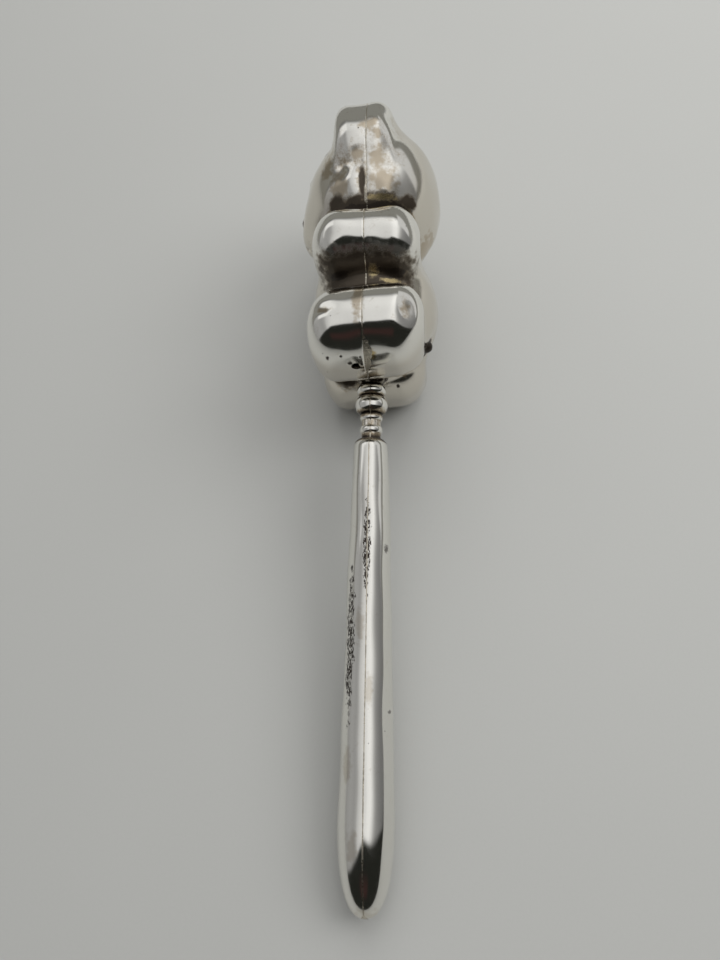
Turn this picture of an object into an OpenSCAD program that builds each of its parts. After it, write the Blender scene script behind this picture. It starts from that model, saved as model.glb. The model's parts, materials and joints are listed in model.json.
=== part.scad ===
// Baby rattle: a hollow teddy bear die struck in two halves, on a hollow handle
// with a beaded collar. Loose pellets inside the bear make the sound.
//
// Design frame: X runs through the thickness of the bear (its back is +X), Y runs along
// the handle towards the head, Z runs from one hand of the bear to the other.
// Y = 0 is where the handle meets the bear. lie_down() then lays the rattle on its side.

/* [Sheet metal] */
// Thickness of the struck sheet of the bear
bear_wall = 0.45; // [0.35:0.05:0.7]
// Thickness of the struck sheet of the handle
handle_wall = 0.5; // [0.35:0.05:0.8]
// Width of the solder line between two halves
seam_w = 0.12; // [0.08:0.02:0.3]

/* [Head] */
// Height of the middle of the head above the handle joint
head_y = 37.2; // [36:0.2:39]
// Depth of the head, front to back
head_depth = 27; // [25:0.5:29]
// Height of the head
head_height = 27.4; // [26:0.2:29]
// Width of the head, without its ears
head_width = 31; // [29:0.5:33]
// Height of the middle of the crown, the swelling between and behind the ears
crown_y = 41.5; // [41:0.1:42.2]
// How far the crown lies behind the seam
crown_back = 2.4; // [2:0.1:3]
// Depth of the crown, front to back
crown_depth = 19.4; // [17:0.2:20]
// Height of the crown
crown_height = 20; // [18:0.2:21]
// Width of the crown
crown_width = 27; // [25:0.5:29]
// Height of the middle of the muzzle above the handle joint
muzzle_y = 32.4; // [31:0.2:34]
// How far the tip of the muzzle lies in front of the seam
muzzle_reach = 14.2; // [13.8:0.1:15.5]
// Height of the muzzle
muzzle_height = 12.4; // [11:0.2:14]
// Width of the muzzle
muzzle_width = 15; // [13:0.5:17]

/* [Ears] */
// Diameter of an ear, seen from the front
ear_d = 12.4; // [11:0.2:13.4]
// Thickness of an ear, front to back
ear_thick = 10.4; // [9:0.2:11.6]
// Rounding of the rim of an ear
ear_round = 2.8; // [2:0.1:3.6]
// Height of the middle of an ear above the handle joint
ear_y = 46; // [45:0.2:47]
// Distance from the middle of the bear to the middle of an ear
ear_z = 11.4; // [10.8:0.2:12]
// How far the ears sit in front of the seam
ear_forward = 1.2; // [0.8:0.1:1.8]

/* [Trunk] */
// Depth of the belly and seat, front to back
seat_depth = 23; // [22:0.2:24]
// Height of the belly and seat
seat_height = 21; // [20.4:0.2:22]
// Width of the belly and seat
seat_width = 26; // [25:0.5:28]
// Height of the underside of the seat above the handle joint
seat_lift = 2; // [1.8:0.1:2.4]
// How far the seat lies behind the seam
seat_back = 1.1; // [0.8:0.1:1.5]
// Depth of the chest, front to back
chest_depth = 20.6; // [19:0.2:22]
// Width of the chest
chest_width = 24; // [23:0.5:26]
// Height of the chest
chest_height = 16; // [15:0.5:18]
// Height of the middle of the chest above the handle joint
chest_y = 20; // [19:0.2:21]
// Diameter of the ball tail
tail_d = 2.4; // [2:0.1:3]
// Height of the tail above the handle joint
tail_y = 7.8; // [7.4:0.1:8.6]
// How deep the tail sits in the seat
tail_sink = 0.8; // [0.5:0.1:1]

/* [Arms] */
// Distance from the middle of the bear to the end of a hand
arm_reach = 18.8; // [18.2:0.1:19]
// Depth of an arm, front to back
arm_depth = 19.6; // [18.8:0.2:20.2]
// Height of an arm
arm_height = 12.8; // [12:0.2:13.4]
// Rounding of the end of an arm
arm_round = 5; // [4.4:0.1:5.6]
// Height of the middle of an arm above the handle joint
arm_y = 22.8; // [22.4:0.1:23.2]

/* [Legs] */
// Distance from the middle of the bear to the sole of a foot
leg_reach = 19.3; // [19:0.1:20]
// Depth of a leg, front to back
leg_depth = 20.6; // [20:0.2:21.4]
// Height of a leg
leg_height = 14.8; // [14:0.2:15.2]
// Rounding of the end of a leg
leg_round = 5; // [4.6:0.1:5.4]
// Height of the middle of a leg above the handle joint
leg_y = 6.8; // [6.5:0.1:7.1]
// Diameter of the vent hole under a leg
vent_d = 1.8; // [1.2:0.1:2.2]
// Distance of the vent hole in front of the seam
vent_forward = 1.6; // [1.4:0.1:2.6]
// Distance of the vent hole from the middle of the bear
vent_z = 12.4; // [11:0.2:13.6]

/* [Handle] */
// Length of the grip, from its shoulder to its end
grip_len = 83; // [60:1:100]
// Thickness of the grip at its shoulder
grip_top_thick = 6.7; // [6:0.1:7.6]
// Width of the grip at its shoulder
grip_top_width = 7.9; // [7:0.1:9]
// Thickness of the grip where it is widest
grip_end_thick = 10.1; // [9:0.1:11]
// Width of the grip where it is widest
grip_end_width = 12; // [10.6:0.1:13]
// Length of the rounded end of the grip
butt_len = 15; // [11:0.5:17]
// How pointed the rounded end of the grip is: 0.5 is an oval, and more is sharper
butt_point = 0.5; // [0.46:0.02:0.7]
// Length of the rounded shoulder of the grip
shoulder_len = 2; // [1.4:0.1:3]

/* [Collar] */
// Diameter of the small bead at the top
bead_d = 5.7; // [5.2:0.1:6.2]
// Length of the small bead
bead_len = 2.2; // [1.8:0.1:2.6]
// Diameter of the large bead
ball_d = 6.3; // [5.8:0.1:7]
// Length of the large bead
ball_len = 3.5; // [3:0.1:4]
// Diameter of the two lower rings
ring_d = 4.4; // [4:0.1:4.8]
// Length of one lower ring
ring_len = 1.4; // [1.1:0.1:1.8]
// Diameter of the grooves between the beads and rings
groove_d = 3.6; // [3:0.1:3.9]
// Length of the groove after each lower ring
groove_len = 1.1; // [0.8:0.1:1.5]
// Diameter of the bore through the collar
collar_bore = 2.4; // [1.6:0.1:2.6]
// Diameter of the fillet of solder at the handle joint
joint_d = 4.3; // [4:0.1:4.8]

/* [Pellets] */
// Diameter of one loose pellet
pellet_d = 2.6; // [2:0.1:2.8]
// Gap between a resting pellet and the sheet it rests on
pellet_gap = 0.1; // [0.05:0.05:0.3]
// Distance between two pellets side by side
pellet_pitch = 3.4; // [3.3:0.05:3.6]

/* [Hidden] */

sheet_silver = [0.78, 0.78, 0.76];
back_silver = [0.70, 0.71, 0.70];
solder_grey = [0.45, 0.42, 0.36];
shot_steel = [0.55, 0.56, 0.58];

// The collar's stations, counted from the joint down the handle.
bead_y = -bead_len / 2;
ball_y = -bead_len - ball_len / 2;
ring_1_y = -bead_len - ball_len - ring_len / 2;
ring_2_y = ring_1_y - ring_len - groove_len;
shoulder_y = ring_2_y - ring_len / 2 - groove_len;

// Stations of the grip: how far along it each one is, closer together at the round ends.
shoulder_steps = 3;
body_steps = 6;
end_steps = 8;
last_angle = 81;
grip_stations = concat(
    [for (i = [0:shoulder_steps]) shoulder_len * (1 - cos(i * 90 / shoulder_steps))],
    [for (i = [1:body_steps]) shoulder_len + (grip_len - shoulder_len - butt_len) * i / body_steps],
    [for (i = [1:end_steps]) grip_len - butt_len + butt_len * sin(i * last_angle / end_steps)]);

// Half the size of the grip at a distance s from its shoulder, from its size at each end.
function grip_half(s, top, end) =
    let (full_top = top / 2, full_end = end / 2, start = groove_d / 2 - handle_wall,
        taper = full_top + (full_end - full_top) * max(0, s - shoulder_len)
            / (grip_len - shoulder_len - butt_len))
    s < shoulder_len
        ? start + (full_top - start) * sqrt(1 - pow(1 - s / shoulder_len, 2))
        : s < grip_len - butt_len
            ? taper
            : full_end * pow(1 - pow((s - grip_len + butt_len) / butt_len, 2), butt_point);

function half_thick(s) = grip_half(s, grip_top_thick, grip_end_thick);
function half_width(s) = grip_half(s, grip_top_width, grip_end_width);

// Lying down: the sole of one foot and the end of the grip both touch the ground.
// The tilt that does it is found by halving the range in which it lies.
function leg_low(t) = leg_y * sin(t) - (leg_reach - leg_height / 2) * cos(t) - leg_height / 2;
function grip_low(t) = min([for (s = grip_stations)
    (shoulder_y - s) * sin(t) - half_width(s) * cos(t)]);
function find_tilt(low, high, turns) =
    let (mid = (low + high) / 2)
    turns == 0 ? mid
        : leg_low(mid) < grip_low(mid) ? find_tilt(mid, high, turns - 1)
        : find_tilt(low, mid, turns - 1);
tilt = find_tilt(0, 20, 24);
lift = -leg_low(tilt);

// The box of the lying rattle, to put the origin under its middle.
top_reach = ear_y * cos(tilt) + ear_z * sin(tilt) + ear_d / 2;
end_reach = min([for (s = grip_stations)
    (shoulder_y - s) * cos(tilt) - half_width(s) * sin(tilt)]);
middle_y = (top_reach + end_reach) / 2;
middle_x = (head_depth / 2 - muzzle_reach) / 2;

// Pellets: five rest in the lower leg, in two rows, and three in the lower arm.
row_gap = pellet_pitch * sin(60);
leg_lanes = concat(
    [for (i = [-1:1]) [i * pellet_pitch, leg_y - row_gap / 3]],
    [for (i = [-0.5:1:0.5]) [i * pellet_pitch, leg_y + row_gap * 2 / 3]]);
arm_lanes = [for (i = [-1:1]) [i * pellet_pitch, arm_y]];

// How far from the seam plane's middle a pellet rests in the round end of a limb.
function rest_z(lane, y, height, reach) =
    let (roll_r = height / 2 - bear_wall - pellet_gap - pellet_d / 2)
    reach - height / 2 + sqrt(pow(roll_r, 2) - pow(lane[1] - y, 2));
function leg_rest(lane) = rest_z(lane, leg_y, leg_height, leg_reach);
function arm_rest(lane) = rest_z(lane, arm_y, arm_height, arm_reach);

big = 400;
slice_h = 0.1;

// How far in from the side each limb starts, so that it merges with the trunk or the head.
ear_root = 3;
arm_root = 6;
leg_root = 8;

// Facets of a round surface: the inside of the sheet is coarser than the outside.
function facets(inset, n) = inset > 0 ? round(n * 0.6) : n;

module lie_down() {
    translate([-middle_x, -middle_y, lift]) rotate([tilt, 0, 0]) children();
}

// A ball of three different radii.
module egg(at, size, inset, n) {
    translate(at) scale([size[0] / 2 - inset, size[1] / 2 - inset, size[2] / 2 - inset])
        sphere(1, $fn = facets(inset, n));
}

// One rounded rim of a thick disc whose axis runs front to back.
module rim(at, d, round_r, inset) {
    translate(at) rotate([0, 90, 0]) rotate_extrude($fn = facets(inset, 40)) intersection() {
        translate([d / 2 - round_r, 0]) circle(round_r - inset, $fn = facets(inset, 24));
        translate([0, -d / 2]) square(d);
    }
}

// A stub that ends in a half circle seen from the front, from z_in out to reach.
module stub(x, y, depth, d, z_in, reach, round_r, inset) {
    hull() for (side = [-1, 1], z = [z_in, reach - d / 2])
        rim([x + side * (depth / 2 - round_r), y, z], d, round_r, inset);
}

// The whole bear as one solid, with every face moved in by inset.
module bear_solid(inset) {
    hull() {
        egg([seat_back, seat_lift + seat_height / 2, 0],
            [seat_depth, seat_height, seat_width], inset, 36);
        egg([0, chest_y, 0], [chest_depth, chest_height, chest_width], inset, 36);
    }
    hull() {
        egg([0, head_y, 0], [head_depth, head_height, head_width], inset, 44);
        egg([crown_back, crown_y, 0], [crown_depth, crown_height, crown_width], inset, 40);
    }
    hull() egg([muzzle_width / 2 - muzzle_reach, muzzle_y, 0],
        [muzzle_width, muzzle_height, muzzle_width], inset, 28);
    for (side = [0, 1]) mirror([0, 0, side]) {
        stub(-ear_forward, ear_y, ear_thick, ear_d, ear_z - ear_root, ear_z + ear_d / 2, ear_round, inset);
        stub(0, arm_y, arm_depth, arm_height, arm_root, arm_reach, arm_round, inset);
        stub(0, leg_y, leg_depth, leg_height, leg_root, leg_reach, leg_round, inset);
    }
}

// A ball tail, embossed in the back half just above the legs.
module tail() {
    translate([seat_back + (seat_depth - tail_d) / 2 - tail_sink, tail_y, 0]) sphere(d = tail_d, $fn = 20);
}

module vent() {
    translate([-vent_forward, leg_y - leg_height / 2, vent_z]) rotate([90, 0, 0])
        cylinder(d = vent_d, h = 4 * bear_wall, center = true, $fn = 20);
}

// Everything on one side of the seam: side is -1 for the front and 1 for the back.
module half_space(side) {
    translate([side * (big + seam_w) / 2, 0, 0]) cube(big, center = true);
}

module bear_shell(side) {
    intersection() {
        difference() {
            union() {
                bear_solid(0);
                tail();
            }
            bear_solid(bear_wall);
            vent();
        }
        half_space(side);
    }
}

module bear_front_shell() {
    color(sheet_silver) lie_down() bear_shell(-1);
}

module bear_back_shell() {
    color(back_silver) lie_down() bear_shell(1);
}

module bear_seam_solder() {
    color(solder_grey) lie_down() intersection() {
        difference() {
            bear_solid(0);
            bear_solid(bear_wall);
        }
        cube([seam_w, big, big], center = true);
    }
}

// A bead or ring of the collar as points of its outline, a flattened half circle.
function bead_outline(y, length, d) =
    [for (a = [-75:15:75]) [groove_d / 2 + (d - groove_d) / 2 * cos(a), y - length / 2 * sin(a)]];

collar_outline = concat(
    [[0, 0], [groove_d / 2, 0]],
    bead_outline(bead_y, bead_len, bead_d),
    bead_outline(ball_y, ball_len, ball_d),
    bead_outline(ring_1_y, ring_len, ring_d),
    bead_outline(ring_2_y, ring_len, ring_d),
    [[groove_d / 2, shoulder_y + groove_len / 2], [groove_d / 2, shoulder_y - shoulder_len],
        [0, shoulder_y - shoulder_len]]);

module collar_solid() {
    rotate([-90, 0, 0]) rotate_extrude($fn = 36) polygon(collar_outline);
}

// One thin oval slice of the grip.
module grip_slice(s, inset) {
    translate([0, shoulder_y - s + slice_h, 0]) rotate([90, 0, 0])
        scale([half_thick(s) - inset, half_width(s) - inset, 1])
            cylinder(r = 1, h = slice_h, $fn = facets(inset, 40));
}

module grip_solid(inset) {
    for (i = [0:len(grip_stations) - 2])
        if (half_thick(grip_stations[i + 1]) > 2 * inset) hull() {
            grip_slice(grip_stations[i], inset);
            grip_slice(grip_stations[i + 1], inset);
        }
}

module handle_shell() {
    difference() {
        union() {
            collar_solid();
            grip_solid(0);
        }
        grip_solid(handle_wall);
        rotate([90, 0, 0]) translate([0, 0, 2 * handle_wall])
            cylinder(d = collar_bore, h = shoulder_len - shoulder_y, $fn = 24);
    }
}

module handle_half(side) {
    intersection() {
        handle_shell();
        half_space(side);
    }
}

module handle_front_half() {
    color(sheet_silver) lie_down() handle_half(-1);
}

module handle_back_half() {
    color(back_silver) lie_down() handle_half(1);
}

// The handle's outline in the seam plane, as points along it and out to each side.
function both_sides(edge) = concat(edge, [for (i = [len(edge) - 1:-1:0]) [edge[i][0], -edge[i][1]]]);
function grip_edge(inset) = [for (s = grip_stations)
    if (half_thick(s) > 2 * inset) [shoulder_y - s, half_width(s) - inset]];

module handle_seam_solder() {
    color(solder_grey) lie_down() rotate([90, 0, 90]) linear_extrude(seam_w, center = true)
        difference() {
            union() {
                polygon(both_sides([for (p = collar_outline) if (p[0] > 0) [p[1], p[0]]]));
                polygon(both_sides(grip_edge(0)));
            }
            polygon(both_sides(grip_edge(handle_wall)));
            translate([shoulder_y - shoulder_len, -collar_bore / 2])
                square([shoulder_len - shoulder_y - 2 * handle_wall, collar_bore]);
        }
}

// The lump of solder that holds the handle to the seat, trimmed to the seat's own curve.
module neck_solder() {
    color(solder_grey) lie_down() difference() {
        rotate([-90, 0, 0]) cylinder(d1 = joint_d, d2 = joint_d * 1.3, h = seat_lift + 1.2, $fn = 32);
        bear_solid(0);
    }
}

module pellet(lane, rest) {
    color(shot_steel) lie_down() translate([lane[0], lane[1], -rest]) sphere(d = pellet_d, $fn = 32);
}

module pellet_1() { pellet(leg_lanes[0], leg_rest(leg_lanes[0])); }
module pellet_2() { pellet(leg_lanes[1], leg_rest(leg_lanes[1])); }
module pellet_3() { pellet(leg_lanes[2], leg_rest(leg_lanes[2])); }
module pellet_4() { pellet(leg_lanes[3], leg_rest(leg_lanes[3])); }
module pellet_5() { pellet(leg_lanes[4], leg_rest(leg_lanes[4])); }
module pellet_6() { pellet(arm_lanes[0], arm_rest(arm_lanes[0])); }
module pellet_7() { pellet(arm_lanes[1], arm_rest(arm_lanes[1])); }
module pellet_8() { pellet(arm_lanes[2], arm_rest(arm_lanes[2])); }

bear_front_shell();
bear_back_shell();
bear_seam_solder();
neck_solder();
handle_front_half();
handle_back_half();
handle_seam_solder();
pellet_1();
pellet_2();
pellet_3();
pellet_4();
pellet_5();
pellet_6();
pellet_7();
pellet_8();
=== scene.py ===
# %% [markdown]
# # A baby's silver rattle
# The rattle is a hollow teddy bear on a hollow handle. Both are struck in two halves from
# thin silver sheet and soldered along a seam. Eight loose pellets inside make the sound.
# The solids of the part are loaded first and never moved. Each piece made below stands for
# one of them and rides on the same body.

import json
import math

import bmesh
import bpy
import numpy as np
from mathutils import Matrix, Vector


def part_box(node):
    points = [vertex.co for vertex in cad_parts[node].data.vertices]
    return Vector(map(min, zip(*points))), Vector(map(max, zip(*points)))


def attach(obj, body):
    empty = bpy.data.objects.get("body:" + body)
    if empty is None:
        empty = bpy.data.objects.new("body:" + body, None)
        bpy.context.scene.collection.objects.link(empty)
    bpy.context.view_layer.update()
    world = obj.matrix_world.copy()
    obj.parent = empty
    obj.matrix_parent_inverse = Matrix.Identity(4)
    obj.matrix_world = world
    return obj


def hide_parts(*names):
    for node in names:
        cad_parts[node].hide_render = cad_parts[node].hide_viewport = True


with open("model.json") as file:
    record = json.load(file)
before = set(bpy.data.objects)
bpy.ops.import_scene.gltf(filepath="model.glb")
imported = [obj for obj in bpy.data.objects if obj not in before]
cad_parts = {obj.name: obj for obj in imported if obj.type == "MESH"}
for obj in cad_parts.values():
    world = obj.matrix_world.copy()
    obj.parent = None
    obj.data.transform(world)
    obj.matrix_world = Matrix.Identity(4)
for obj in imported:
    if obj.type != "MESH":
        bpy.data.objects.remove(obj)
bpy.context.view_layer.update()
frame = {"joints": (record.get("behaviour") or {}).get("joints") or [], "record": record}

# %% [markdown]
# ## Where the rattle lies
# The sizes below are in millimetres in the rattle's own frame: X runs through its thickness
# with the back at +X, Y along the handle to the head, and Z from hand to hand. The seam of
# the halves lies in the plane X = 0, and Y = 0 is where the handle meets the bear.
# The rattle lies on its side, tipped up a little by the thick bear. The lane of a pellet is
# the Z axis of that frame, and the mark on the grip is 60 mm down the handle, so these two
# facts of the record give the matrix that lays each piece down.

# %% From the rattle's own frame to the table
MM = 0.001
GRIP_MARK_Y = -60
lane = Vector(frame["joints"][0]["axis"])
grip_mark = next(m for m in frame["record"]["mounts"] if m["name"] == "handle_grip")
tilt = math.atan2(-lane.y, lane.z)
turn = Matrix.Rotation(tilt, 4, "X")
origin = Vector(grip_mark["pos_m"]) - turn @ Vector((0, GRIP_MARK_Y * MM, 0))
to_table = Matrix.Translation(origin) @ turn @ Matrix.Scale(MM, 4)
print(f"the rattle lies tipped by {math.degrees(tilt):.2f} degrees")


def unit(v):
    return v / np.maximum(np.linalg.norm(v, axis=-1, keepdims=True), 1e-9)


# %% [markdown]
# ## The camera
# One hand-held camera above the handle, looking down and towards the head. Its place and
# aim are given in the rattle's own frame, and the matrix above carries them to the table.

# %% Camera


def stand(name, data):
    """A new object in the scene."""
    thing = bpy.data.objects.new(name, data)
    bpy.context.scene.collection.objects.link(thing)
    return thing


CAMERA_AT = Vector((12.9, -46.1, 133.0))
CAMERA_PITCH, CAMERA_YAW, CAMERA_ROLL = (math.radians(a) for a in (11.7, -6.3, 0.9))
LENS_MM = 27.08

forward = Vector((math.sin(CAMERA_YAW), math.sin(CAMERA_PITCH), -math.cos(CAMERA_PITCH)))
forward = (turn.to_3x3() @ forward).normalized()
right = forward.cross(turn.to_3x3() @ Vector((0, 1, 0))).normalized()
up = right.cross(forward)
roll = Matrix.Rotation(-CAMERA_ROLL, 3, forward)
right, up = roll @ right, roll @ up

camera = stand("camera", bpy.data.cameras.new("camera"))
camera.data.lens = LENS_MM
camera.data.clip_start = 0.005
camera.matrix_world = Matrix.Translation(to_table @ CAMERA_AT) @ Matrix(
    (right, up, -forward)).transposed().to_4x4()
bpy.context.scene.camera = camera
print("camera at", [round(1000 * x, 1) for x in camera.location], "mm")

# %% [markdown]
# ## Building node trees
# Materials, the sky and the repeated pieces are all node trees. These helpers add one node,
# link or set its inputs, and hand it back.

# %% Helpers for node trees


def add(tree, kind, inputs=None, **settings):
    """Adds one node. Inputs are given by name or number, as a value or as a socket to link."""
    node = tree.nodes.new(kind)
    for key, value in settings.items():
        setattr(node, key, value)
    for key, value in (inputs or {}).items():
        if isinstance(value, bpy.types.NodeSocket):
            tree.links.new(value, node.inputs[key])
        else:
            node.inputs[key].default_value = value
    return node


def calc(operation, a, b=0.0, c=0.0):
    """One step of arithmetic on sockets and numbers, in the tree that the sockets are in."""
    tree = next(v.id_data for v in (a, b, c) if isinstance(v, bpy.types.NodeSocket))
    return add(tree, "ShaderNodeMath", {0: a, 1: b, 2: c}, operation=operation).outputs[0]


def times(first, *others):
    for other in others:
        first = calc("MULTIPLY", first, other)
    return first


def any_of(first, *others):
    """The greatest of some masks."""
    for other in others:
        first = calc("MAXIMUM", first, other)
    return first


def step(value, low, high, to_low=0.0, to_high=1.0):
    """A soft step: to_low where value is at or below low, to_high at or above high."""
    return add(value.id_data, "ShaderNodeMapRange", {"Value": value, "From Min": low,
        "From Max": high, "To Min": to_low, "To Max": to_high},
        interpolation_type="SMOOTHSTEP").outputs[0]


def mix(factor, a, b):
    """A mix of two colours."""
    a, b = ((*c, 1) if isinstance(c, tuple) else c for c in (a, b))
    return add(factor.id_data, "ShaderNodeMix", {0: factor, 6: a, 7: b},
        data_type="RGBA").outputs[2]


def new_group(name, kind, inputs, outputs):
    """An empty node group with named sockets, and its two end nodes."""
    tree = bpy.data.node_groups.new(name, kind)
    for title, socket, value in inputs:
        made = tree.interface.new_socket(title, in_out="INPUT", socket_type=socket)
        if value is not None:
            made.default_value = value
    for title, socket in outputs:
        tree.interface.new_socket(title, in_out="OUTPUT", socket_type=socket)
    return tree, tree.nodes.new("NodeGroupInput").outputs, tree.nodes.new("NodeGroupOutput")


# %% [markdown]
# ## The room that the silver shows
# Polished silver has hardly any look of its own: it shows the room. Here that is a wide
# bright panel overhead, grey walls, and a dark side where the viewer stands. The sky is
# made from the direction of the ray alone. The camera itself sees plain pale grey instead.

# %% The room
ROOM_ACROSS = (  # degrees from overhead, towards +X, and how bright the room is there
    (-90, 0.30), (-66, 0.34), (-47, 0.31), (-36, 0.37), (-27, 0.54), (-12, 0.66), (2, 0.76),
    (10, 0.86), (24, 0.90), (33, 0.74), (42, 0.46), (52, 0.29), (62, 0.23), (76, 0.18), (90, 0.17))
ROOM_AHEAD = (  # the same towards the head end, as a share of the above
    (-90, 0.95), (-25, 0.97), (5, 1.0), (25, 1.12), (40, 1.1), (50, 0.45), (58, 0.0), (90, 0.0))
WALL = (0.225, 0.223, 0.205)
ROOM_PATCHES = (  # from and to across, from and to ahead, and how bright
    ((-60, -24, 14, 42), 0.82), ((34, 80, 24, 64), 0.58))
VIEWER = (0.016, 0.0165, 0.014)
VIEWER_RISE = 0.46  # how far back the viewer's edge lies for each step up
VIEWER_LEFT, VIEWER_RIGHT = (-0.62, -0.012), (0.20, -0.004)  # its slope and start to each side
VIEWER_SOFT = (-0.04, 0.07)
HAND = (0.036, 0.020, 0.018)
HAND_ACROSS = (-26, 24)
HAND_FAR, HAND_NEAR = (0.72, 0.88), (0.97, 0.90)
PALE = (0.52, 0.52, 0.507)

world = bpy.data.worlds.new("room")
bpy.context.scene.world = world
world.use_nodes = True
room = world.node_tree
room.nodes.clear()
ray = add(room, "ShaderNodeSeparateXYZ",
    {0: add(room, "ShaderNodeTexCoord").outputs["Generated"]}).outputs
height = calc("MAXIMUM", ray["Z"], 0.0)


def degrees(side):
    """How many degrees from overhead the ray leans to one side."""
    return times(calc("ARCTAN2", side, height), 180 / math.pi)


def room_ramp(angle, stops):
    """A grey that runs through stops, each given as an angle and a grey."""
    node = add(room, "ShaderNodeValToRGB", {0: calc("MULTIPLY_ADD", angle, 1 / 180, 0.5)})
    points = node.color_ramp.elements
    while len(points) < len(stops):
        points.new(0.5)
    for point, (at, grey) in zip(points, stops):
        point.position = at / 180 + 0.5
        point.color = (grey, grey, grey, 1)
    return node.outputs[0]


def room_patch(x0, x1, y0, y1, soft=9):
    """A soft-edged part of the room, from x0 to x1 degrees across and y0 to y1 ahead."""
    mask = 1.0
    for angle, start, end in ((x_angle, x0, x1), (y_angle, y0, y1)):
        for edge, half in ((start, soft / 2), (end, -soft / 2)):
            mask = times(mask, step(angle, edge - half, edge + half))
    return mask


x_angle, y_angle = degrees(ray["X"]), degrees(ray["Y"])
across = room_ramp(x_angle, ROOM_ACROSS)
ahead = times(room_ramp(y_angle, [(a, b / 2) for a, b in ROOM_AHEAD]), 2.0)
lit = add(room, "ShaderNodeVectorMath", {0: across, 3: ahead}, operation="SCALE").outputs[0]
room_light = mix(step(ahead, 0.0, 0.6), WALL, lit)
for (x0, x1, y0, y1), level in ROOM_PATCHES:
    room_light = mix(room_patch(x0, x1, y0, y1), room_light, (level, level, level))
towards = times(ray["Y"], -1.0)
edge = calc("MAXIMUM", calc("MULTIPLY_ADD", ray["X"], *VIEWER_LEFT),
    calc("MULTIPLY_ADD", ray["X"], *VIEWER_RIGHT))
edge = calc("MULTIPLY_ADD", height, VIEWER_RISE, edge)
viewer = step(calc("SUBTRACT", towards, edge), *VIEWER_SOFT)
hand = times(room_patch(*HAND_ACROSS, -90, 90, 12), step(towards, *HAND_FAR),
    step(towards, *HAND_NEAR))
room_light = mix(viewer, room_light, mix(hand, VIEWER, HAND))
seen = add(room, "ShaderNodeLightPath").outputs["Is Camera Ray"]
room_light = mix(seen, room_light, PALE)
sky = add(room, "ShaderNodeBackground", {"Color": room_light, "Strength": 1.0})
add(room, "ShaderNodeOutputWorld", {"Surface": sky.outputs[0]})
print(f"room: {len(room.nodes)} nodes")

# %% [markdown]
# ## Lamps and table
# A large soft lamp beyond the head lights the table, so the table darkens gently towards
# the viewer, and a smaller one on the right throws the soft shadow to the left. Both are
# hidden from mirror rays: the room above is what the silver shows.

# %% Lamps
LAMPS = (  # name, place, size and power
    ("lamp_ahead", (0.04, 0.42, 0.42), 0.55, 1.35), ("lamp_right", (0.32, 0.10, 0.34), 0.30, 0.80))

for name, at, size, power in LAMPS:
    lamp = stand(name, bpy.data.lights.new(name, "AREA"))
    lamp.data.shape = "DISK"
    lamp.data.size = size
    lamp.data.energy = power
    lamp.location = at
    lamp.rotation_euler = (-Vector(at)).to_track_quat("-Z", "Y").to_euler()
    lamp.visible_glossy = False
    lamp.visible_camera = False
bpy.context.scene.view_settings.view_transform = "Standard"

# %% Table
TABLE_HALF = 1.6
TABLE_GREY = (0.500, 0.503, 0.482)
GRAIN_GREY = (0.40, 0.40, 0.39)


def new_material(name):
    material = bpy.data.materials.new(name)
    material.use_nodes = True
    tree = material.node_tree
    tree.nodes.clear()
    return material, tree


def shader_out(tree, inputs):
    """The Principled shader of a material, wired to its output."""
    shader = add(tree, "ShaderNodeBsdfPrincipled", inputs)
    add(tree, "ShaderNodeOutputMaterial", {"Surface": shader.outputs[0]})


def noise(place, scale, detail=2.0, roughness=0.5):
    """Cloudy noise from 0 to 1."""
    return add(place.id_data, "ShaderNodeTexNoise", {"Vector": place, "Scale": scale,
        "Detail": detail, "Roughness": roughness}).outputs[0]


table_top, tree = new_material("table_top")
place = add(tree, "ShaderNodeTexCoord").outputs["Object"]
cloud = step(noise(place, 14.0, 3.0), 0.3, 0.7)
grain = step(noise(place, 1900.0, 1.0), 0.35, 0.75, 0.0, 0.06)
paint = mix(cloud, tuple(0.985 * c for c in TABLE_GREY), TABLE_GREY)
paint = mix(grain, paint, GRAIN_GREY)
shader_out(tree, {"Base Color": paint, "Roughness": 0.62})

bpy.ops.mesh.primitive_plane_add(size=2 * TABLE_HALF)
table = bpy.context.object
table.name = "table"
table.data.materials.append(table_top)
print(f"table {2 * TABLE_HALF} m wide")

# %% [markdown]
# ## Effects that the finishes share
# Silver tarnishes where no cloth reaches, in creases and round solder, first to a thin brown
# film and then almost black. It also has small pits, and its polish is never quite even.
# Each effect is a node group with its own inputs, so every finish can use its own amounts.
# All of them read places in millimetres.

# %% Group: tarnish
FLOAT, VECTOR = "NodeSocketFloat", "NodeSocketVector"


def use(tree, group, inputs):
    return add(tree, "ShaderNodeGroup", inputs, node_tree=group)


tarnish, given, result = new_group("tarnish", "ShaderNodeTree",
    [("Place", VECTOR, None), ("Crease", FLOAT, 0.0), ("Reach", FLOAT, 0.5),
        ("Raggedness", FLOAT, 0.3), ("Patch per mm", FLOAT, 0.6)],
    [("Film", FLOAT), ("Dark", FLOAT)])
ragged = noise(given["Place"], given["Patch per mm"], 4.0, 0.6)
fine = noise(given["Place"], times(given["Patch per mm"], 5.0), 2.0)
ragged = calc("MULTIPLY_ADD", calc("SUBTRACT", ragged, 0.5), 2.0,
    calc("SUBTRACT", fine, 0.5))
depth = calc("MULTIPLY_ADD", ragged, given["Raggedness"], given["Crease"])
depth = calc("DIVIDE", depth, given["Reach"])
tarnish.links.new(step(depth, 0.10, 0.95), result.inputs["Film"])
tarnish.links.new(step(depth, 0.50, 1.55), result.inputs["Dark"])

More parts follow.
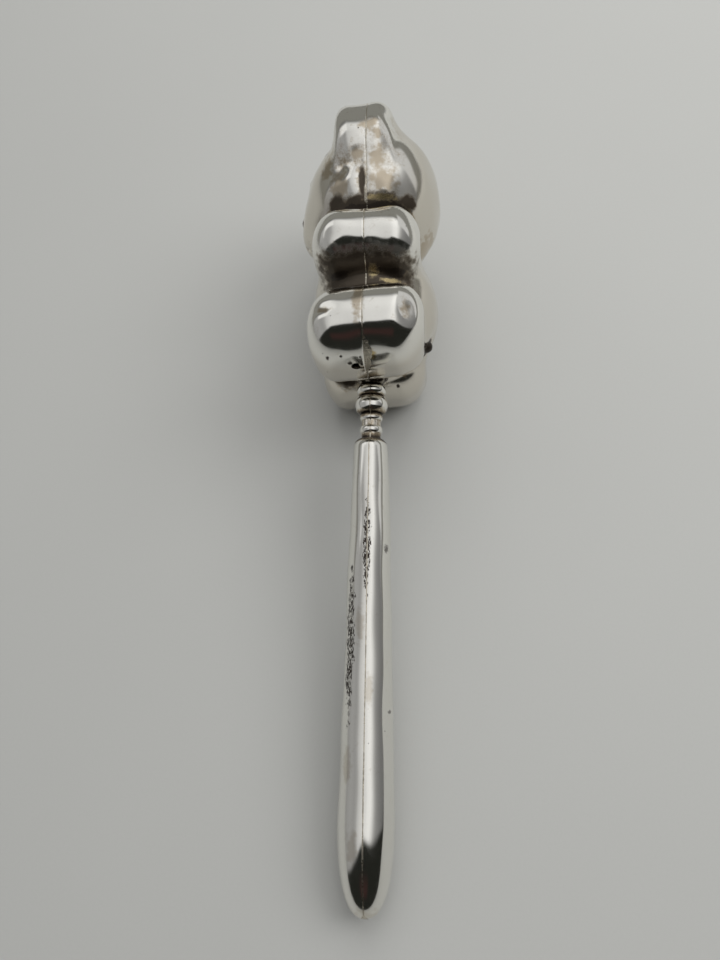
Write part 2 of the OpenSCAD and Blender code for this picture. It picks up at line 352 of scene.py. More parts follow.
# %% Group: one ragged spot, such as a stain
spot, given, result = new_group("spot", "ShaderNodeTree",
    [("Place", VECTOR, None), ("Middle", VECTOR, None), ("Size", VECTOR, (1, 1, 1)),
        ("Raggedness", FLOAT, 0.4), ("Patch per mm", FLOAT, 1.5), ("Core", FLOAT, 0.20)],
    [("Mask", FLOAT)])
off = given["Place"]
for operation, by in (("SUBTRACT", "Middle"), ("DIVIDE", "Size")):
    off = add(spot, "ShaderNodeVectorMath", {0: off, 1: given[by]}, operation=operation).outputs[0]
away = add(spot, "ShaderNodeVectorMath", {0: off}, operation="LENGTH").outputs["Value"]
ragged = calc("SUBTRACT", noise(given["Place"], given["Patch per mm"], 3.0), 0.5)
away = calc("MULTIPLY_ADD", ragged, given["Raggedness"], away)
spot.links.new(step(away, 0.60, given["Core"]), result.inputs["Mask"])

# %% Group: pits, small round holes in the polish
pits, given, result = new_group("pits", "ShaderNodeTree",
    [("Place", VECTOR, None), ("Cells per mm", FLOAT, 1.0), ("Size", FLOAT, 0.2),
        ("Share", FLOAT, 0.2)],
    [("Mask", FLOAT)])
cell = add(pits, "ShaderNodeTexVoronoi", {"Vector": given["Place"], "Scale": given["Cells per mm"]})
pick = add(pits, "ShaderNodeSeparateColor", {0: cell.outputs["Color"]}).outputs
chosen = calc("LESS_THAN", pick[0], given["Share"])
size = times(given["Size"], calc("MULTIPLY_ADD", pick[1], 0.8, 0.4))
inside = calc("DIVIDE", cell.outputs["Distance"], size)
pits.links.new(times(chosen, step(inside, 1.0, 0.7)), result.inputs["Mask"])

# %% Group: hand polish, slow waves with very fine scratches
polish, given, result = new_group("hand_polish", "ShaderNodeTree",
    [("Place", VECTOR, None), ("Wave height", FLOAT, 0.008), ("Scratch height", FLOAT, 0.0005)],
    [("Height", FLOAT), ("Dulling", FLOAT)])
wave = times(noise(given["Place"], 0.33, 1.0), given["Wave height"])
long_way = add(polish, "ShaderNodeMapping", {"Vector": given["Place"],
    "Rotation": (0.3, 0.5, 0.4), "Scale": (9.0, 0.7, 9.0)}).outputs[0]
scratch = times(noise(long_way, 1.0, 3.0, 0.6), given["Scratch height"])
dulling = step(noise(given["Place"], 0.8, 4.0), 0.42, 0.75)
polish.links.new(calc("ADD", wave, scratch), result.inputs["Height"])
polish.links.new(dulling, result.inputs["Dulling"])
print("effects:", ", ".join(g.name for g in bpy.data.node_groups))

# %% [markdown]
# ## Finishes
# Every finish reads its place in the rattle's own frame, in millimetres: a Mapping node
# undoes the matrix that laid the rattle down. The silver is a metal with a faint warm tint.
# Film and dark tarnish are laid over it, on the bear with some painted shade among them, and pits
# cut into it.

# %% Silver
SILVER = (0.86, 0.846, 0.797)
FILM = (0.44, 0.36, 0.25)
DARK = (0.036, 0.027, 0.020)
BRONZE = (0.62, 0.50, 0.27)
SILVER_ROUGH = 0.10
PIT_DEEP, TARNISH_TALL = 0.03, 0.02
back = turn.to_3x3().inverted()


def rattle_place(tree):
    """The place on the rattle in mm, and its X, Y and Z."""
    start = add(tree, "ShaderNodeTexCoord").outputs["Object"]
    shift = -(back @ origin) / MM
    place = add(tree, "ShaderNodeMapping", {"Vector": start, "Location": shift,
        "Rotation": (-tilt, 0, 0), "Scale": (1 / MM,) * 3}).outputs[0]
    return place, add(tree, "ShaderNodeSeparateXYZ", {0: place}).outputs


def bumped(tall):
    """The normal of a surface that rises by tall, in mm."""
    return add(tall.id_data, "ShaderNodeBump",
        {"Strength": 1.0, "Distance": MM, "Height": tall}).outputs[0]


def spots(place, rows, ragged=0.4, patch=1.5, core=0.20):
    """One mask for several ragged spots, each given as its middle and its size in mm."""
    return any_of(*[use(place.id_data, spot, {"Place": place, "Middle": middle, "Size": size,
        "Raggedness": ragged, "Patch per mm": patch, "Core": core}).outputs[0]
        for middle, size in rows])


def crease_of(tree):
    """How deep in a crease the point lies, as stored on the mesh."""
    return add(tree, "ShaderNodeAttribute", attribute_name="crease").outputs["Fac"]


def silver(place, film, dark, pit, bronze=None, wave=0.008):
    """The silver itself, given where it has film, dark tarnish and on the bear some painted shade,
    pits and a yellow stain.
    """
    tree = place.id_data
    polished = use(tree, polish, {"Place": place, "Wave height": wave}).outputs
    colour = mix(film, SILVER, FILM)
    if bronze:
        colour = mix(bronze, colour, BRONZE)
        dark = times(dark, calc("MULTIPLY_ADD", bronze, -0.75, 1.0))
    dark = any_of(dark, pit)
    colour = mix(dark, colour, DARK)
    rough = SILVER_ROUGH
    for mask, rougher in ((polished["Dulling"], 0.035), (film, 0.08), (dark, 0.16)):
        rough = calc("MULTIPLY_ADD", mask, rougher, rough)
    tall = calc("MULTIPLY_ADD", pit, -PIT_DEEP, polished["Height"])
    mottled = times(noise(place, 3.5, 3.0), times(dark, TARNISH_TALL))
    shader_out(tree, {"Base Color": colour, "Roughness": rough,
        "Normal": bumped(calc("ADD", tall, mottled)),
        "Metallic": calc("MULTIPLY_ADD", dark, -0.45, 1.0)})


def near_seam(x, wide):
    """1 on the seam, falling to 0 at a distance of wide."""
    return step(calc("ABSOLUTE", x), wide, 0.4 * wide)


# %% Struck silver of the bear, with the middle and size of each mark in mm
LEG_PITS = [((-6.5, 0.3, 14.6), (0.8, 0.5, 2.5)), ((-4.0, 0.4, 15.2), (0.6, 0.4, 2.5)),
    ((-0.7, 0.3, 14.9), (0.6, 0.4, 2.5)), ((4.9, 1.1, -3.3), (0.8, 0.7, 3)),
    ((-2.6, -0.3, 13.5), (1.0, 0.4, 2.5))]
BROWN_STAINS = [((-6.8, 7.4, 19.0), (2.8, 1.3, 5)), ((7.4, 7.5, 18.4), (1.7, 3.2, 5)),
    ((-1.8, 39.4, 16), (3.0, 2.4, 5)), ((2.0, 38.6, 16), (3.6, 5.0, 5)),
    ((2.0, 42.6, 17), (2.0, 3.4, 5)), ((-7.8, 39.0, 13), (3.2, 6, 8)),
    ((-0.7, 34.8, 15.5), (2.4, 8.5, 5)), ((-0.7, 9.3, 18.8), (2.2, 10.5, 6)),
    ((3.2, 34.4, 15.2), (6.4, 7, 6)), ((-5.4, 34.2, 14), (4.4, 7, 8)),
    ((10.4, 28.2, 0), (7, 9, 12)), ((-4.5, 1.8, 0), (8, 5, 12)), ((0.5, 44.5, 17), (5, 3, 6))]
# Dark spots in the creases between head, arms and legs, at the nose and under the seat. They are
# partly tarnish and partly painted shade and painted reflection of the dark viewer, most of all the
# large one in the gap between arm and leg.
CREASE_TARNISH_AND_SHADE = [((-0.5, 16.6, 14), (24, 8.4, 13)), ((0.5, 30.4, 14), (22, 4.4, 9)),
    ((-0.8, 34.6, 15.3), (1.3, 6.5, 5)), ((-6.4, 31.6, 13), (4, 3.6, 6)),
    ((-13.6, 34.4, 0), (3, 3, 6)), ((-4.8, 2.4, -2.4), (5.5, 4, 6)),
    ((7.5, 31.8, 11.5), (4, 2.6, 5))]
YELLOW_STAINS = [((1.4, 16.9, 14.4), (2.2, 2.2, 4)), ((2.8, 31.6, 14.6), (7, 1.3, 5)),
    ((4.4, 15.6, 12.5), (5, 1.0, 4)), ((1.5, 0.4, 15.2), (1.5, 1.8, 4))]

struck_silver, tree = new_material("struck_silver")
place, xyz = rattle_place(tree)
tarnished = use(tree, tarnish, {"Place": place, "Crease": crease_of(tree), "Reach": 0.46}).outputs
stain = spots(place, BROWN_STAINS, 0.9, 0.9)
crease_tarnish_and_shade = spots(place, CREASE_TARNISH_AND_SHADE, 0.5, 0.7, 0.30)
seam_dirt = times(near_seam(xyz["X"], 0.10), noise(place, 0.6, 3.0))
# All of the bear below Z = 15 mm, which is all but the ends that face up, gets 0.38 of the brown
# film, so it is darker and browner there.
low_sides = times(step(xyz["Z"], 15.0, 10.5), 0.38)
# The crease spots feed both the film and the dark, so these carry painted shade as well as tarnish.
film = any_of(tarnished["Film"], times(stain, 0.8), crease_tarnish_and_shade, low_sides, times(seam_dirt, 0.8))
dark = any_of(tarnished["Dark"], times(crease_tarnish_and_shade, 0.92))
pit = any_of(spots(place, LEG_PITS, 0.5, 2.5),
    use(tree, pits, {"Place": place, "Cells per mm": 0.55, "Size": 0.07, "Share": 0.3}).outputs[0])
silver(place, film, dark, pit, spots(place, YELLOW_STAINS, 0.7, 1.6))

# %% Silver of the handle
HANDLE_DIRT = [((-0.1, -31.3, 4.5), (1.3, 17, 4)), ((-2.9, -48.2, 3.9), (1.7, 26, 4))]
HANDLE_STAINS = [((-1.0, -45.6, 5), (1.8, 6.5, 4)), ((0.7, -56.4, 5), (1.6, 6, 4)),
    ((-3.0, -68.8, 4.4), (2.0, 6, 4)), ((-1.9, -81.5, 5.6), (2.2, 6, 4)),
    ((0, -92.0, 0), (6, 4, 8))]
SMALL_MARKS = [((3.3, -31.9, 2.6), (1.3, 1.6, 2)), ((4.1, -60.2, 2.4), (0.8, 0.8, 2))]

handle_silver, tree = new_material("handle_silver")
place, xyz = rattle_place(tree)
tarnished = use(tree, tarnish, {"Place": place, "Crease": crease_of(tree), "Reach": 0.55,
    "Raggedness": 0.35, "Patch per mm": 0.8}).outputs
stretched = add(tree, "ShaderNodeMapping", {"Vector": place, "Scale": (1, 0.3, 1)}).outputs[0]
chatter = step(noise(stretched, 5.0, 2.0, 0.6), 0.42, 0.54)
dirt = times(spots(place, HANDLE_DIRT, 0.9, 0.7), chatter)
dirt = step(dirt, 0.08, 0.36)
marks = times(spots(place, SMALL_MARKS, 0.8, 3.0), 0.8)
loose = use(tree, pits, {"Place": place, "Cells per mm": 0.35, "Size": 0.05,
    "Share": 0.3}).outputs[0]
seam_line = times(near_seam(xyz["X"], 0.09),
    step(noise(place, 0.35, 3.0), 0.38, 0.6))
stain = times(spots(place, HANDLE_STAINS, 0.9, 0.8), 0.4)
film = any_of(tarnished["Film"], stain, times(seam_line, 0.3))
silver(place, film, tarnished["Dark"], any_of(dirt, marks, loose), wave=0.006)

# %% Solder, duller and browner than the sheet
SOLDER = (0.64, 0.59, 0.49)
NECK_TOP, NECK_END = (4.5, 2.2), (-3.5, -1.5)  # where the dark of the neck starts and ends

silver_solder, tree = new_material("silver_solder")
place, xyz = rattle_place(tree)
cloud = step(noise(place, 1.3, 4.0), 0.35, 0.65)
dark = times(step(xyz["Y"], *NECK_TOP), step(xyz["Y"], *NECK_END),
    step(calc("ABSOLUTE", xyz["Z"]), 8.0, 5.0), step(noise(place, 1.0, 3.0), 0.30, 0.52))
colour = mix(cloud, SOLDER, tuple(0.7 * c for c in SOLDER))
colour = mix(dark, colour, DARK)
tall = times(noise(place, 2.6, 4.0), 0.05)
shader_out(tree, {"Base Color": colour, "Metallic": 1.0, "Normal": bumped(tall),
    "Roughness": calc("MULTIPLY_ADD", cloud, 0.15, 0.22)})

# %% Cast shot, grey and a little rough
SHOT, SHOT_WORN = (0.50, 0.51, 0.53), (0.20, 0.19, 0.18)

steel_shot, tree = new_material("steel_shot")
place, _ = rattle_place(tree)
worn = step(noise(place, 1.8, 4.0), 0.4, 0.62)
tall = times(noise(place, 5.0, 3.0), 0.03)
shader_out(tree, {"Base Color": mix(worn, SHOT, SHOT_WORN), "Metallic": 1.0,
    "Normal": bumped(tall), "Roughness": calc("MULTIPLY_ADD", worn, 0.25, 0.25)})
print("finishes:", ", ".join(m.name for m in bpy.data.materials))

# %% [markdown]
# ## The bear as a field of distances
# The bear has no sharp parts: everywhere one pillow runs into the next, with a tight crease
# or a soft hollow between them. A field of distances describes this well. Each ball and limb
# gives the distance of any point to its surface, two of them blend over a stated radius, and
# dents and engraved lines are small amounts added to the field.

# %% Shapes as distances, for points given as rows of x, y and z in mm
FLAT_HALF = 3.6  # a crowned limb is flat this far to each side of its middle


def ball(p, at, size):
    half = np.array(size) / 2
    q = (p - np.array(at)) / half
    near = np.maximum(np.linalg.norm(q, axis=1), 1e-3)
    slope = np.maximum(np.linalg.norm(q / half, axis=1), 1e-3 / half.max())
    return near * (near - 1) / slope


def limb(p, at_x, at_y, depth, height, nose, root, reach, rim, lean=0.0, pivot_y=0.0,
        slant=0.0, crown=0.0):
    """A stub to each side: an oval end as seen from the front, and a rounded rim. The upper
    one may lean, so that its end slopes away below pivot_y, and be crowned across."""
    x = p[:, 0] - at_x
    y = (p[:, 1] - at_y - slant * x) / (height / 2)
    worked = crown * np.maximum(np.abs(x) - FLAT_HALF, 0) ** 2 - lean * (p[:, 1] - pivot_y)
    z = np.abs(p[:, 2]) + np.where(p[:, 2] > 0, worked, 0)
    z = (z - np.clip(z, root, reach - nose)) / nose
    near = np.maximum(np.hypot(y, z), 1e-3)
    slope = np.maximum(np.hypot(y / (height / 2), z / nose), 1e-3 / max(height / 2, nose))
    out = near * (near - 1) / slope + rim
    side = np.abs(x) - (depth / 2 - rim)
    outside = np.hypot(np.maximum(out, 0), np.maximum(side, 0))
    return outside + np.minimum(np.maximum(out, side), 0) - rim


def join(a, b, radius):
    h = np.maximum(radius - np.abs(a - b), 0) / radius
    return np.minimum(a, b) - h * h * radius / 4


def cut(a, b, radius):
    return -join(-a, b, radius)


def bump(p, at, size, tall):
    """A soft bump of the surface, or a dent where tall is negative."""
    q = (p - np.array(at)) / (np.array(size) / 2)
    return -tall * np.exp(-(q * q).sum(axis=1))


def line(p, start, end, width, deep):
    """An engraved line between two points of the face, seen from the front."""
    a, b = np.array(start), np.array(end)
    q = p[:, 1:] - a
    t = np.clip(q @ (b - a) / ((b - a) @ (b - a)), 0, 1)
    away = np.linalg.norm(q - t[:, None] * (b - a), axis=1)
    return deep * np.exp(-((away / width) ** 2)) * (p[:, 0] < -6)


# %% Sizes of the bear, in mm
SEAM = 0.12
BEAR_WALL = 0.45
SEAT = ((1.1, 12.5, 0), (23, 21, 26))
CHEST = ((0, 20, 0), (20.6, 16, 24))
HEAD = ((0, 37.2, 0), (27, 27.4, 31))
CROWN = ((2.4, 41.5, 0), (19.4, 20, 27))
MUZZLE = ((-6.7, 32.4, 0), (15, 12.4, 15))
EAR = dict(at_x=-1.2, at_y=46, depth=10.4, height=12.4, nose=4.6, root=8.4, reach=17.6, rim=2.8,
    lean=-0.17, pivot_y=44.5)
ARM = dict(at_x=-0.2, at_y=22.8, depth=19.6, height=12.8, nose=7.4, root=6, reach=18.8, rim=5,
    lean=0.10, pivot_y=22.8, crown=0.013)
LEG = dict(at_x=0, at_y=6.8, depth=20.6, height=14.8, nose=8.4, root=8, reach=19.3, rim=5,
    lean=0.10, pivot_y=5.5, slant=0.06, crown=0.013)
TAIL_AT, TAIL_D = (10.6, 7.8, 0), 2.4
VENT_AT, VENT_D = (-1.6, -0.6, 12.4), 1.8

# %% [markdown]
# Hand work shows as soft dents in the ends of the limbs and slow waves all over, which make
# the reflections wander. The sheet's inside follows these, but not the fine lines of the
# face. The face is a calm, plain one: two round eyes, an oval nose, a short mouth and
# hollow ears.

# %% The sheet, with its dents and waves
DENTS = (  # where, how large, how tall (negative is a dent)
    ((7.6, 7.5, 18.4), (3.0, 4.6, 8), -0.75),
    ((-6.6, 7.8, 19.0), (4.4, 2.2, 8), -0.34),
    ((0, 1.6, 17.2), (34, 5, 10), -0.20),
    ((-6.4, 22.0, 18.4), (3.6, 2.6, 8), -0.20),
    ((0, 18.0, 16.9), (34, 5, 10), -0.22),
    ((-2.1, 39.0, 16.2), (4.4, 3.4, 8), -0.13),
    ((2.3, 36.9, 15.7), (4.0, 4.4, 8), -0.20),
    ((-0.7, 34.6, 15.5), (1.7, 6.5, 8), -0.26),
    ((-3.2, 34.8, 15.5), (3.6, 4.6, 8), 0.42),
    ((3.4, 33.6, 15.2), (4.2, 4.2, 8), 0.42),
    ((-5.6, 31.8, 14.0), (3.4, 3.0, 8), -0.25),
    ((6.6, 32.4, 12.6), (3.4, 3.4, 8), -0.25),
    ((-4.6, 40.5, 16.0), (1.8, 12, 10), -0.16),
    ((4.6, 41.0, 16.0), (1.6, 12, 10), 0.12),
    ((8.0, 37.5, 12.8), (9, 22, 11), 0.65),
    ((0.4, 42.6, 17.0), (3.2, 1.9, 8), -0.13),
    ((11.4, 8.3, 0), (3.6, 4.6, 4.4), -0.45),
)
wave_seed = np.random.default_rng(11)
WAVES = 18
WAVE_LENGTHS = wave_seed.uniform(4, 12, WAVES)
WAVE_TURNS = unit(wave_seed.normal(size=(WAVES, 3))) * (2 * math.pi / WAVE_LENGTHS)[:, None]
WAVE_STARTS = wave_seed.uniform(0, 2 * math.pi, WAVES)
WAVE_TALL = 0.0034 * WAVE_LENGTHS


def waves(p):
    return np.sin(p @ WAVE_TURNS.T + WAVE_STARTS) @ WAVE_TALL


def sheet_bear(p, dented=1.0, wavy=1.0):
    """The bear without face and tail, with a share of its dents and of its waves."""
    trunk = join(ball(p, *SEAT), ball(p, *CHEST), 7)
    head = join(ball(p, *HEAD), ball(p, *CROWN), 2)
    head = join(join(head, ball(p, *MUZZLE), 3), limb(p, **EAR), 4)
    body = join(trunk, limb(p, **LEG), 0.9)
    body = join(body, limb(p, **ARM), 1.1)
    body = join(body, head, 0.7)
    for dent in DENTS:
        body = body + dented * bump(p, *dent)
    return body + wavy * waves(p)


def sheet_inside(p):
    """The sheet's inner side, which shows the dents and waves less, by its own thickness."""
    return sheet_bear(p, 0.8, 0.3) + BEAR_WALL


# %% The skin, with face, ears and tail
EYE = (-11.3, 40.6, 4.9), (2.2, 2.6, 2.6)
EAR_HOLLOW = (-7.2, 46.8, 12.2), (4.4, 7.4, 6.6)
NOSE = (-13.0, 35.2, 0), (3.4, 3.0, 4.2)
LIP_TOP, MOUTH_MIDDLE = (33.6, 0), (29.9, 0)  # y and z of the engraved mouth
MOUTH_LOW, MOUTH_END = (28.4, 1.9), (29.4, 3.0)
ENGRAVED = 0.3, 0.35  # width and depth of a line


def to_side(at, side):
    """The same place, mirrored across the bear's middle where side is -1."""
    return *at[:-1], side * at[-1]


def bear_skin(p):
    skin = sheet_bear(p)
    near = np.abs(skin) < 4
    p, fine = p[near], skin[near]
    for side in (-1, 1):
        low = to_side(MOUTH_LOW, side)
        fine = join(fine, ball(p, to_side(EYE[0], side), EYE[1]), 0.3)
        fine = cut(fine, ball(p, to_side(EAR_HOLLOW[0], side), EAR_HOLLOW[1]), 1.2)
        fine = fine + line(p, low, to_side(MOUTH_END, side), *ENGRAVED)
        fine = fine + line(p, MOUTH_MIDDLE, low, *ENGRAVED)
    fine = join(fine, ball(p, *NOSE), 0.4)
    fine = fine + line(p, LIP_TOP, MOUTH_MIDDLE, *ENGRAVED)
    skin[near] = join(fine, ball(p, TAIL_AT, (TAIL_D,) * 3), 0.2)
    return skin


# %% [markdown]
# ## From field to mesh
# A grid of small cubes is laid over the field. Each cube that the surface passes through
# gets one point, and each grid edge that it crosses gets one face. The points then settle
# on the surface by following the slope of the field.

# %% Helpers: skin a field, and settle points on it


def skin_field(field, low, high, size):
    """Points and four-sided faces round the space where the field is negative."""
    axes = [np.arange(a, b, size) for a, b in zip(low, high)]
    n = [len(a) for a in axes]
    inside = np.empty(n, bool)
    for i, x in enumerate(axes[0]):
        yz = np.stack(np.meshgrid([x], axes[1], axes[2], indexing="ij"), -1).reshape(-1, 3)
        inside[i] = (field(yz) < 0).reshape(n[1], n[2])
    corners = sum(inside[a:n[0] - 1 + a, b:n[1] - 1 + b, c:n[2] - 1 + c].astype(np.int8)
        for a in (0, 1) for b in (0, 1) for c in (0, 1))
    crossed = (corners > 0) & (corners < 8)
    number = np.full(crossed.shape, -1)
    number[crossed] = np.arange(crossed.sum())
    points = np.argwhere(crossed) * size + np.array(low) + size / 2
    faces = []
    for axis in range(3):
        b, c = (axis + 1) % 3, (axis + 2) % 3
        turned = np.moveaxis(inside, (axis, b, c), (0, 1, 2))
        cells = np.moveaxis(number, (axis, b, c), (0, 1, 2))
        leaves = turned[:-1, 1:-1, 1:-1].astype(int) - turned[1:, 1:-1, 1:-1]
        for sign in (1, -1):
            i, j, k = np.nonzero(leaves == sign)
            ring = [cells[i, j, k], cells[i, j + 1, k], cells[i, j + 1, k + 1], cells[i, j, k + 1]]
            faces.append(np.stack(ring[::sign], 1))
    return points, np.concatenate(faces)


def slope_of(field, p, reach=0.02):
    steps = np.eye(3) * reach
    return np.stack([field(p + s) - field(p - s) for s in steps], 1) / (2 * reach)


def settle(field, p, turns=3):
    """Moves each point along the slope to where the field is zero."""
    for _ in range(turns):
        g = slope_of(field, p)
        away = field(p) / np.maximum((g * g).sum(1), 0.05)
        p = p - np.clip(away, -0.5, 0.5)[:, None] * g
    return p


def relax(p, faces):
    """Moves each point half of the way to the middle of its neighbours."""
    total = np.zeros_like(p)
    for i in range(4):
        start, end = faces[:, i], faces[:, (i + 1) % 4]
        for axis in range(3):
            total[:, axis] += np.bincount(start, p[end, axis], len(p))
    count = np.bincount(faces.ravel(), minlength=len(p))[:, None]
    return (p + total / np.maximum(count, 1)) / 2


# %% Skin the bear
GRID = 0.32
BEAR_LOW, BEAR_HIGH = (-15.6, -2.1, -20.2), (15.2, 53.6, 20.6)
skin_points, skin_faces = skin_field(bear_skin, BEAR_LOW, BEAR_HIGH, GRID)
skin_points = settle(bear_skin, skin_points, turns=2)
for _ in range(3):
    skin_points = settle(bear_skin, relax(skin_points, skin_faces), turns=1)
skin_points = settle(bear_skin, skin_points, turns=2)
print(f"bear skin: {len(skin_points)} points, {len(skin_faces)} faces")

# %% [markdown]
# ## Making a piece
# Each piece is built in millimetres and laid down by the one matrix. It is checked to be a
# closed skin that points outwards, and then it replaces its solid and rides on its body.

# %% Helpers: make a piece and dress it
SHARP_FROM = math.radians(60)


def mesh_of(name, points, faces, material):
    rotate = np.array(turn.to_3x3())
    laid = np.asarray(points) @ rotate.T * MM + np.array(origin)
    mesh = bpy.data.meshes.new(name)
    mesh.from_pydata(laid.tolist(), [], [list(f) for f in faces])
    mesh.polygons.foreach_set("use_smooth", np.ones(len(mesh.polygons), bool))
    mesh.materials.append(material)
    mesh.update()
    return mesh


def points_of(mesh):
    """The points of a finished mesh, back in the rattle's own frame, in mm."""
    flat = np.empty(3 * len(mesh.vertices), np.float32)
    mesh.vertices.foreach_get("co", flat)
    return (flat.reshape(-1, 3).astype(float) - np.array(origin)) @ np.array(turn.to_3x3()) / MM


def dress(mesh, body, slot, *nodes):
    """The piece stands for its solids and rides on a body. Its slot is not used. Its skin is
    smooth, and only real edges, such as a rim, stay sharp."""
    mesh.set_sharp_from_angle(angle=SHARP_FROM)
    piece = stand(mesh.name, mesh)
    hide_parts(*nodes)
    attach(piece, body)
    check = bmesh.new()
    check.from_mesh(mesh)
    loose = sum(not e.is_manifold for e in check.edges)
    volume = check.calc_volume(signed=True) / MM ** 3
    check.free()
    print(f"{piece.name}: {len(mesh.polygons)} faces, {volume:.1f} mm3, {loose} open edges")


def plain(thing):
    """The plain mesh that the object's modifiers make. The object itself is removed."""
    depsgraph = bpy.context.evaluated_depsgraph_get()
    mesh = bpy.data.meshes.new_from_object(thing.evaluated_get(depsgraph))
    bpy.data.objects.remove(thing)
    return mesh


def set_number(mesh, name, values):
    attribute = mesh.attributes.new(name, "FLOAT", "POINT")
    attribute.data.foreach_set("value", np.asarray(values, np.float32))


# %% [markdown]
# ## Two struck halves
# The skin is cut along the seam, and each half gets its inner wall: the same points, moved
# in by the thickness of the sheet. A narrow rim joins the two walls, so each half is closed.
# The rim drops a hair below the skin, which leaves the fine line of the seam.

# %% Cut and thicken one half
RIM_DROP = 0.02


def half_shell(side):
    """Points, faces and rim of one closed half: side is -1 for the front, 1 for the back."""
    whole = bpy.data.meshes.new("cut")
    whole.from_pydata(skin_points.tolist(), [], skin_faces.tolist())
    cutter = bmesh.new()
    cutter.from_mesh(whole)
    bpy.data.meshes.remove(whole)
    everything = cutter.verts[:] + cutter.edges[:] + cutter.faces[:]
    bmesh.ops.bisect_plane(cutter, geom=everything, dist=1e-5, plane_co=(side * SEAM / 2, 0, 0),
        plane_no=(side, 0, 0), clear_inner=True)
    cutter.verts.index_update()
    outer = np.array([v.co for v in cutter.verts])
    walls = [[v.index for v in f.verts] for f in cutter.faces]
    rim = [(e.link_loops[0].vert.index, e.link_loops[0].link_loop_next.vert.index)
        for e in cutter.edges if e.is_boundary]
    cutter.free()
    on_rim = np.unique(rim)
    out = unit(slope_of(bear_skin, outer))
    inner = settle(sheet_inside, outer - BEAR_WALL * out)
    inner[:, 0] = side * np.maximum(side * inner[:, 0], SEAM / 2)
    inner[on_rim, 0] = side * SEAM / 2
    outer[on_rim] -= RIM_DROP * out[on_rim] * (0, 1, 1)
    n = len(outer)
    walls += [[i + n for i in reversed(f)] for f in walls]
    walls += [[b, a, a + n, b + n] for a, b in rim]
    return np.concatenate([outer, inner]), walls, rim


# %% How deep in a crease each point lies
CREASE_REACH = 3.0


def crease_at(p):
    """1 deep in a crease or inside the sheet, 0 on open ground."""
    out = unit(slope_of(sheet_bear, p, 0.1))
    depth = 1 - sheet_bear(p + CREASE_REACH * out) / CREASE_REACH
    tail_ring = 1 - np.abs(np.linalg.norm(p - np.array(TAIL_AT), axis=1) - 1.4) / 1.1
    inside = bear_skin(p) < -0.6 * BEAR_WALL
    return np.where(inside, 1.0, np.clip(np.maximum(depth, tail_ring), 0, 1))


# %% The vent hole, drilled through the front half under one foot
BIT_SIDES = 24
BIT_ENDS = (2.2, -1.2)  # how far the drill reaches beyond the middle of the hole


def drill(mesh):
    """The mesh with the vent hole cut through its sheet."""
    n = BIT_SIDES
    angles = np.linspace(0, 2 * math.pi, n, endpoint=False)
    ring = np.stack([np.cos(angles), 0 * angles, np.sin(angles)], 1) * VENT_D / 2
    ends = [ring + np.array(VENT_AT) + (0, shift, 0) for shift in BIT_ENDS]
    sides = [[i, (i + 1) % n, (i + 1) % n + n, i + n] for i in range(n)]
    caps = [list(range(n - 1, -1, -1)), list(range(n, 2 * n))]
    drill_bit = stand("drill_bit", mesh_of("drill_bit", np.concatenate(ends), sides + caps,
        mesh.materials[0]))
    holed = stand("holed", mesh)
    hole = holed.modifiers.new("hole", "BOOLEAN")
    hole.solver = "MANIFOLD"
    hole.object = drill_bit
    result, name = plain(holed), mesh.name
    bpy.data.objects.remove(drill_bit)
    bpy.data.meshes.remove(mesh)
    result.name = name
    return result


def in_order(rim):
    """The rim's points in order, from its loose pairs."""
    after = dict(rim)
    start = rim[0][0]
    chain = [start]
    while after[chain[-1]] != start:
        chain.append(after[chain[-1]])
    return chain


for side, node in ((-1, "bear_front_shell"), (1, "bear_back_shell")):
    shell_points, shell_faces, rim = half_shell(side)
    mesh = mesh_of(node + "_struck", shell_points, shell_faces, struck_silver)
    if side < 0:
        mesh = drill(mesh)
        bear_seam = shell_points[in_order(rim)] * (0, 1, 1)
    set_number(mesh, "crease", crease_at(points_of(mesh)))
    dress(mesh, "rattle", "struck_silver", node)

# %% [markdown]
# ## The handle
# The grip is an oval tube that thickens towards its round end, and the collar above it is a
# row of turned beads. Both are lofted: a ring of points at each station along the handle.
# Each half stops at the seam, and an inner wall and a flat rim close it.

# %% Sizes and outline of the handle, in mm
HANDLE_WALL = 0.5
GROOVE_D = 3.6
BORE_D = 2.4
BEADS = (  # middle, length and diameter of each bead and ring
    (-1.1, 2.2, 5.7), (-3.95, 3.5, 6.3), (-6.4, 1.4, 4.4), (-8.9, 1.4, 4.4))
SHOULDER_Y, GRIP_LEN, SHOULDER_LEN, BUTT_LEN = -10.7, 83.0, 2.0, 15.0
THICK_TOP, THICK_END = 6.7, 10.1
WIDE_TOP, WIDE_END = 7.9, 12.0
BUTT_POINT, BUTT_BLUNT = 0.5, 0.41


def grip_radius(s, top, end, point):
    """Half the size of the grip at a distance s below its shoulder. Its end rounds off by
    the power given as point."""
    start = GROOVE_D / 2
    t = (s - GRIP_LEN + BUTT_LEN) / BUTT_LEN
    if s < SHOULDER_LEN:
        return start + (top / 2 - start) * math.sqrt(1 - (1 - s / SHOULDER_LEN) ** 2)
    if t > 0:
        return end / 2 * max(1 - t * t, 0) ** point
    return top / 2 + (end - top) / 2 * (s - SHOULDER_LEN) / (GRIP_LEN - SHOULDER_LEN - BUTT_LEN)


